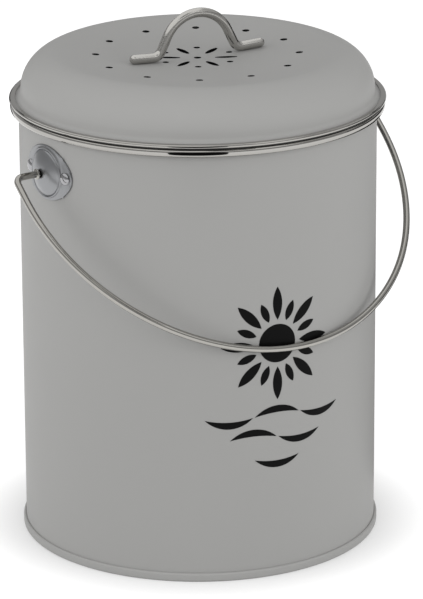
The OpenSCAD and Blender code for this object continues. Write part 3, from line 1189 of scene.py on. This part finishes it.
@dataclass
class Lid:
    """Dished painted lid with its vents, and its bare trim."""

    wall_r: float = 98.8
    sheet_t: float = 0.6
    cove_r: float = 3.2
    flange_r: float = 104.5
    flange_z: float = 251.95
    wall_h: float = 1.5
    shoulder_r: float = 21
    dish_d: float = 4.6
    trim_r: float = 105.2
    trim_z: float = 250.65
    trim_h: float = 2
    trim_round: float = 0.95
    trim_inner_round: float = 0.2
    vent_r: float = 2.05
    vent_flare: float = 0.1
    vent_n: int = 12
    vent_ring: float = 56.6
    vent_turn: float = -3.6
    bud_r: float = 1.8
    bud_ring: float = 20.6
    petal_n: int = 6
    petal_ring: float = 15.9
    petal_l: float = 12.4
    petal_w: float = 3.7
    petal_tip: float = 1.3
    cutter_reach: float = 3
    shoulder_x: float = field(init=False)
    shoulder_z: float = field(init=False)
    dish_z: float = field(init=False)
    dish_r: float = field(init=False)

    def __post_init__(self) -> None:
        """Works out where the shoulder and the dish meet."""
        self.shoulder_x = self.wall_r - self.shoulder_r
        self.shoulder_z = self.flange_z + self.cove_r + self.wall_h
        self.dish_z = self.shoulder_z + self.shoulder_r - self.dish_d
        self.dish_r = (self.shoulder_x ** 2 + (self.shoulder_r - self.dish_d) ** 2
                       - self.shoulder_r ** 2) / (2 * self.dish_d)

    def dish_height(self, radius: float) -> float:
        """Height of the dished top at a radius."""
        return self.dish_z + self.dish_r - math.sqrt(self.dish_r ** 2 - radius ** 2)

    def sheet_line(self, depth: float) -> Outline:
        """Line of the sheet from its middle vent to its edge.

        Args:
            depth: How far the line is sunk into the sheet.

        Returns:
            The line's points.
        """
        meet = math.degrees(math.asin(self.shoulder_x / (self.dish_r + self.shoulder_r)))
        first = math.degrees(math.asin(self.vent_r / self.dish_r))
        cove = (self.wall_r + self.cove_r, self.flange_z + self.cove_r)
        return [
            *arc((0, self.dish_z + self.dish_r), self.dish_r + depth,
                 -90 + first, -90 + meet, 12),
            *arc((self.shoulder_x, self.shoulder_z), self.shoulder_r - depth,
                 90 + meet, 0, 26)[1:],
            *arc(cove, self.cove_r + depth, 180, 270, 10),
            (self.flange_r, self.flange_z - depth),
        ]

    def round_cutter(self, radius: float, ring: float, angle: float) -> Piece:
        """Drill for a round vent, flared where the paint rounds its edge.

        Args:
            radius: Radius of the vent.
            ring: Radius of the ring that it stands in.
            angle: Its angle round the lid.

        Returns:
            The drill.
        """
        top = self.dish_height(ring)
        flare = self.vent_flare
        drill = turned("drill", [
            (0, top - self.cutter_reach), (radius, top - self.cutter_reach),
            *arc((radius + flare, top - flare), flare, 180, 90, 3),
            (radius + flare, top + 1), (0, top + 1)], 32)
        shift_piece(drill, ring, 0, 0)
        turn_piece(drill, angle, "Z")
        return drill

    def petal_cutter(self, angle: float) -> Piece:
        """Punch for a petal with blunt ends.

        Args:
            angle: Its angle round the lid.

        Returns:
            The punch.
        """
        bulge = (self.petal_w - self.petal_tip) / 2
        punch = lens("punch", self.petal_ring, self.petal_l, (bulge, bulge),
                     self.dish_z - self.cutter_reach, 2 * self.cutter_reach, tip=self.petal_tip)
        turn_piece(punch, angle, "Z")
        return punch

    def dome(self) -> Piece:
        """The powder-coated sheet with all its vents, their side walls dark with painted shade.

        Returns:
            The new piece.
        """
        lid = turned("lid_dome", self.sheet_line(0) + self.sheet_line(self.sheet_t)[::-1])
        cutters = [self.round_cutter(self.vent_r, self.vent_ring,
                                     self.vent_turn + 360 * i / self.vent_n)
                   for i in range(self.vent_n)]
        for i in range(self.petal_n):
            angles = [self.vent_turn + 360 * (i + part) / self.petal_n for part in (0, 0.5)]
            cutters.append(self.round_cutter(self.bud_r, self.bud_ring, angles[0]))
            cutters.append(self.petal_cutter(angles[1]))
        carve(lid, join_pieces(cutters, "cutters"))
        settle(lid, smooth=35)
        lid.data.materials.append(GREY_COAT.material())
        # The vents' side walls take the near-black finish, painted shade in place of the holes' own
        # shadow.
        lid.data.materials.append(VENT_PAINTED_SHADE.material())
        reach = self.vent_ring + 2 * self.vent_r
        for face in lid.data.polygons:
            across = math.hypot(face.center.x, face.center.y) / MM
            face.material_index = int(abs(face.normal.z) < 0.5 and across < reach)
        return lid

    def trim(self) -> Piece:
        """The bare trim folded over the flange's edge."""
        return turned("lid_trim", bead_outline(
            self.wall_r + self.cove_r, self.trim_r, self.trim_z, self.trim_z + self.trim_h,
            self.trim_inner_round, self.trim_round))

    def build(self) -> None:
        """Models the lid's pieces and hands them in."""
        hand_in(self.dome(), Body.LID, GREY_COAT, ("lid_shell",))
        hand_in(self.trim(), Body.LID, BRIGHT_TRIM, ("lid_band",))
        coat_node("lid_skirt", PLAIN_SHEET)
        coat_node("lid_seal", SEAL_RUBBER)


@dataclass
class Grip:
    """Bent rod grip welded to the lid's dished top."""

    dish_z: float
    dish_r: float
    rod_r: float = 2.7
    arch_r: float = 21
    slope: float = 64
    leg: float = 8.5
    bend_r: float = 5.5
    foot: float = 11.4
    turn: float = -7.3
    sink: float = 0.02
    end_share: float = 0.98
    start_share: float = 0.2

    def rod(self) -> Piece:
        """The rod, bent from the left foot over the arch to the right foot.

        Returns:
            The new piece.
        """
        slope = math.radians(self.slope)
        foot_x = (self.arch_r + self.bend_r) * math.sin(slope) + self.leg * math.cos(slope)
        tilt = math.asin((foot_x + self.foot / 2) / self.dish_r)
        heel_x = foot_x + self.bend_r * math.sin(tilt)
        lift = self.dish_r - self.rod_r - self.sink
        heel_z = self.dish_z + self.dish_r - (lift - heel_x * math.sin(tilt)) / math.cos(tilt)
        outward = Vector((-math.cos(tilt), math.sin(tilt)))
        tip = Vector((-heel_x, heel_z)) + self.foot * outward
        tilt_deg = math.degrees(tilt)
        start = tip + self.rod_r * self.end_share * outward
        start_r = self.rod_r * self.start_share
        bender = WireBender("lid_grip_rod", start.x, start.y, -tilt_deg, start_r, 40)
        round_end = [(self.rod_r * (self.end_share - math.sin(a)), self.rod_r * math.cos(a))
                     for a in (math.radians(75 - 15 * i) for i in range(6))]
        bender.swell(round_end)
        ankle = (self.bend_r, self.slope + tilt_deg, 14)
        bender.run(self.foot)
        bender.bend(*ankle)
        bender.run(self.leg)
        bender.bend(self.arch_r, -2 * self.slope, 40)
        bender.run(self.leg)
        bender.bend(*ankle)
        bender.run(self.foot)
        length = round_end[-1][0]
        bender.swell([(length - d, r) for d, r in reversed(round_end[:-1])] + [(length, start_r)])
        rod = bender.finish()
        turn_piece(rod, 90, "X")
        turn_piece(rod, self.turn, "Z")
        return rod

    def build(self) -> None:
        """Models the grip and hands it in."""
        hand_in(self.rod(), Body.LID, SATIN_ROD, ("lid_grip",))


def dress_filter() -> None:
    """Gives the filter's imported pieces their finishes."""
    coat_node("filter_seat", PLAIN_SHEET)
    coat_node("filter_tray", TRAY_PLASTIC)
    coat_node("filter_pad", COAL_FOAM)


# ---------------------------------------------------------------- ornament


@dataclass
class Ornament:
    """Plain black print on the front: a rayed sun over rows of waves."""

    wall_r: float = 100.03
    thickness: float = 0.06
    azimuth: float = -9.3
    centre_z: float = 119
    sun_y: float = 17
    disc_r: float = 11
    ray_n: int = 16
    ray_start: float = 13.5
    ray_l: float = 19
    ray_w: float = 5.6
    wave_n: int = 3
    wave_l: float = 27
    wave_bulges: Pair = (5.6, -1.6)
    wave_pitch: float = 12.5
    wave_drop: float = 9
    wave_gap: float = 1
    strip: float = 1.5
    strip_n: int = 28
    short_ray: float = 0.62

    def sun(self) -> list[Piece]:
        """The disc and its rays, drawn once in two lengths and copied round.

        Returns:
            The new pieces.
        """
        pen = Pen("sun_disc", self.disc_r, 0)
        pen.arc(0, 0, 360, 64)
        parts = [pen.fill(self.thickness)]
        for k, share in enumerate((1, self.short_ray)):
            length = self.ray_l * share
            bulge = self.ray_w * share ** 0.5 / 2
            ray = lens("ray", self.ray_start + length / 2, length, (bulge, bulge), 0,
                       self.thickness)
            for i in range(k, self.ray_n, 2):
                copied = copy_piece(ray, "ray_copy")
                turn_piece(copied, 360 * i / self.ray_n + 90, "Z")
                parts.append(copied)
            bpy.data.objects.remove(ray)
        for part in parts:
            shift_piece(part, 0, self.sun_y, 0)
        return parts

    def waves(self) -> list[Piece]:
        """Rows of crescents, one up and one down in turn, each row shorter.

        Returns:
            The new pieces.
        """
        stroke = lens("wave", 0, self.wave_l, self.wave_bulges, 0, self.thickness, 24)
        parts = []
        for row in range(self.wave_n):
            count = self.wave_n - row
            level = (self.sun_y - self.ray_start - self.ray_l - self.wave_drop
                     - self.wave_pitch * row)
            for i in range(count):
                copied = copy_piece(stroke, "wave_copy")
                if (i + row) % 2:
                    turn_piece(copied, 180, "Z")
                along = (i - (count - 1) / 2) * (self.wave_l + self.wave_gap)
                shift_piece(copied, along, level, 0)
                parts.append(copied)
        bpy.data.objects.remove(stroke)
        return parts

    def build(self) -> None:
        """Draws the print flat, wraps it on the wall and hands it in."""
        ornament = join_pieces(self.sun() + self.waves(), "front_ornament")
        slice_across(ornament, [self.strip * i for i in range(-self.strip_n, self.strip_n + 1)])
        wrap_on_wall(ornament, self.wall_r, self.azimuth)
        shift_piece(ornament, 0, 0, self.centre_z)
        hand_in(ornament, Body.PAIL, PRINT_INK)


# ------------------------------------------------------------------ studio


def way_to(azimuth: float, elevation: float = 0) -> Vector:
    """Direction seen from the caddy.

    Args:
        azimuth: Its angle from the front (-Y) towards the right.
        elevation: Its angle above the floor.

    Returns:
        A vector of length one.
    """
    turn, rise = math.radians(azimuth), math.radians(elevation)
    return Vector((math.sin(turn) * math.cos(rise), -math.cos(turn) * math.cos(rise),
                   math.sin(rise)))


def show_in_metal(thing: Piece, name: str, shade: float) -> None:
    """Names a studio piece and hides it from all but glossy rays.

    Args:
        thing: The piece.
        name: Its name.
        shade: Its brightness.
    """
    thing.name = name
    thing.visible_camera = False
    thing.visible_diffuse = False
    thing.visible_shadow = False
    made = bpy.data.materials.new(name)
    made.use_nodes = True
    board = Board(made.node_tree)
    glow = board.add("ShaderNodeEmission", {"Color": (shade, shade, shade, 1), "Strength": 1.0})
    board.feed(board.tree.nodes["Material Output"], {"Surface": glow.outputs[0]})
    thing.data.materials.append(made)


@dataclass(frozen=True)
class Lamp:
    """Soft rectangular lamp that looks at the caddy, its lengths in metres."""

    name: str
    azimuth: float
    elevation: float
    share: float
    size: Pair = (2.0, 1.8)
    distance: float = 2.6
    aim_z: float = 0.14

    def build(self, power: float) -> None:
        """Adds the lamp.

        Args:
            power: Power in watts that the lamp has a share of.
        """
        clear_bench()
        way = way_to(self.azimuth, self.elevation)
        bpy.ops.object.light_add(
            type="AREA", location=Vector((0, 0, self.aim_z)) + way * self.distance)
        lamp = bpy.context.object
        lamp.name = self.name
        lamp.rotation_euler = way.to_track_quat("Z", "Y").to_euler()
        lamp.data.shape = "RECTANGLE"
        lamp.data.size, lamp.data.size_y = self.size
        lamp.data.energy = self.share * power
        lamp.visible_glossy = False
        lamp.visible_camera = False


@dataclass(frozen=True)
class Belt:
    """Round wall that only polished metal shows, its lengths in metres."""

    name: str
    bottom: float
    top: float
    shade: float
    radius: float = 3.4

    def build(self) -> None:
        """Adds the belt."""
        clear_bench()
        bpy.ops.mesh.primitive_cylinder_add(
            vertices=96, radius=self.radius, depth=self.top - self.bottom,
            location=(0, 0, (self.top + self.bottom) / 2), end_fill_type="NOTHING")
        show_in_metal(bpy.context.object, self.name, self.shade)


@dataclass(frozen=True)
class Card:
    """Card that only polished metal shows, its lengths in metres.

    Its tilt is the angle that it leans back from upright. A card with many
    corners is an oval.
    """

    name: str
    azimuth: float
    radius: float
    height: float
    tilt: float
    size: Pair
    shade: float = 0.01
    corners: int = 4

    def build(self) -> None:
        """Adds the card."""
        clear_bench()
        bpy.ops.mesh.primitive_circle_add(vertices=self.corners, radius=0.5, fill_type="NGON")
        card = bpy.context.object
        if self.corners == 4:
            turn_piece(card, 45, "Z")
            card.scale = (math.sqrt(2), math.sqrt(2), 1)
            apply_place()
        card.scale = (*self.size, 1)
        apply_place()
        turn_piece(card, 90 - self.tilt, "X")
        bpy.ops.transform.translate(value=(0, -self.radius, self.height))
        turn_piece(card, self.azimuth, "Z")
        show_in_metal(card, self.name, self.shade)


@dataclass
class Studio:
    """Pale floor, white surroundings, soft lamps and dark cards."""

    floor_size: float = 2.6
    floor_colour: Rgb = (0.60, 0.60, 0.60)
    floor_roughness: float = 0.9
    # Glow at the pail's foot, lower than the far glow: a painted shadow round the foot.
    painted_shadow_glow: float = 0.34
    far_glow: float = 0.62
    glow_from: float = 0.100
    glow_to: float = 0.130
    ambient: float = 0.65
    lamp_power: float = 28
    lamps: tuple[Lamp, ...] = (
        Lamp("left_lamp", -101, 15, 0.93),
        Lamp("right_lamp", 25, 15, 0.92),
        Lamp("front_lamp", -34.6, 25, 0.19, size=(1.6, 1.6)),
    )
    mirrored: tuple[Belt | Card, ...] = (
        Belt("low_belt", 0.0, 1.55, 0.42),
        Belt("dark_belt", 1.55, 1.95, 0.02),
        Card("high_card", -8, 1.08, 1.76, 57, (0.7, 0.6)),
        Card("rim_card", -34.6, 0.16, 0.236, 0, (0.070, 0.080), corners=48),
        Card("right_belt", 92, 3.0, 0.45, 0, (3.4, 0.9), shade=0.02),
        Card("right_wall", 75, 3.0, 2.6, 25, (5.0, 3.2), shade=0.5),
        Card("right_floor", 104, 0.5, 0.002, 90, (0.4, 0.8), corners=48),
        Card("back_card", 168, 0.7, 0.2, 0, (0.2, 0.4)),
    )

    def seen(self, board: Board) -> Socket:
        """Tells the rays that see the surroundings from those that light things.

        Args:
            board: Board of the material that asks.

        Returns:
            One for camera, glossy and transmission rays, zero for all others.
        """
        ray = board.add("ShaderNodeLightPath").outputs
        either = board.math("MAXIMUM", ray["Is Camera Ray"], ray["Is Glossy Ray"])
        return board.math("MAXIMUM", either, ray["Is Transmission Ray"])

    def floor(self) -> None:
        """A floor that glows to the rays that see it and still takes shadows; its glow is dimmer
        close round the pail, a painted shadow at the foot.

        It is small, because polished metal shows a wide one too bright under
        these low lamps.
        """
        clear_bench()
        bpy.ops.mesh.primitive_plane_add(size=self.floor_size, location=(0, 0, 0))
        floor = bpy.context.object
        floor.name = "studio_floor"
        made = bpy.data.materials.new("studio_floor")
        made.use_nodes = True
        board = Board(made.node_tree)
        shader = made.node_tree.nodes["Principled BSDF"]
        board.feed(shader, {"Base Color": (*self.floor_colour, 1),
                            "Roughness": self.floor_roughness, "Specular IOR Level": 0.0})
        place = board.add("ShaderNodeTexCoord").outputs["Object"]
        away = board.add("ShaderNodeVectorMath", {0: place}, operation="LENGTH").outputs["Value"]
        # Glow rises from the low value at the foot to the far value: painted shadow near the pail.
        glow_with_painted_shadow = board.add("ShaderNodeMapRange", {
            "Value": away, "From Min": self.glow_from, "From Max": self.glow_to,
            "To Min": self.painted_shadow_glow, "To Max": self.far_glow}).outputs["Result"]
        glow = board.add("ShaderNodeEmission", {
            "Color": (1, 1, 1, 1), "Strength": board.math("MULTIPLY", self.seen(board), glow_with_painted_shadow)})
        both = board.add("ShaderNodeAddShader", {0: shader.outputs[0], 1: glow.outputs[0]})
        board.feed(made.node_tree.nodes["Material Output"], {"Surface": both.outputs[0]})
        floor.data.materials.append(made)

    def world(self) -> None:
        """White to camera, glossy and transmission rays, dimmer as a lamp."""
        world = bpy.data.worlds.new("studio")
        bpy.context.scene.world = world
        world.use_nodes = True
        board = Board(world.node_tree)
        board.feed(world.node_tree.nodes["Background"], {
            "Color": (1, 1, 1, 1),
            "Strength": board.spread(self.seen(board), self.ambient, 1.0)})

    def build(self) -> None:
        """Sets up the whole studio."""
        self.floor()
        self.world()
        for lamp in self.lamps:
            lamp.build(self.lamp_power)
        for thing in self.mirrored:
            thing.build()


@dataclass
class PhotoCamera:
    """Camera at the photograph's angle, from a fit of the pail's outline."""

    distance: float = 2175.28
    height: float = 854.84
    azimuth: float = -34.6
    yaw: float = 0.187
    pitch: float = 18.40
    roll: float = -0.282
    focal_px: float = 4041.3
    frame_h_px: float = 599
    sensor: float = 36

    def build(self) -> None:
        """Adds the camera and makes it the scene's."""
        clear_bench()
        place = (way_to(self.azimuth) * self.distance + Vector((0, 0, self.height))) * MM
        bpy.ops.object.camera_add(location=place)
        camera = bpy.context.object
        camera.name = "photo_camera"
        heading = Matrix.Rotation(math.radians(self.azimuth - self.yaw), 4, "Z")
        nod = Matrix.Rotation(math.radians(90 - self.pitch), 4, "X")
        roll = Matrix.Rotation(math.radians(self.roll), 4, "Z")
        camera.matrix_world = Matrix.Translation(place) @ heading @ nod @ roll
        camera.data.sensor_fit = "VERTICAL"
        camera.data.sensor_height = self.sensor
        camera.data.lens = self.focal_px * self.sensor / self.frame_h_px
        bpy.context.scene.camera = camera


def main() -> None:
    """Builds the caddy, the studio and the camera."""
    logging.basicConfig(level=logging.INFO, format="%(name)s: %(message)s")
    PhotoCamera().build()
    Pail().build()
    Ears().build()
    Bail().build()
    lid = Lid()
    lid.build()
    Grip(dish_z=lid.dish_z, dish_r=lid.dish_r).build()
    dress_filter()
    Ornament().build()
    Studio().build()
    bpy.context.scene.view_settings.view_transform = "Standard"


if __name__ == "__main__":
    main()
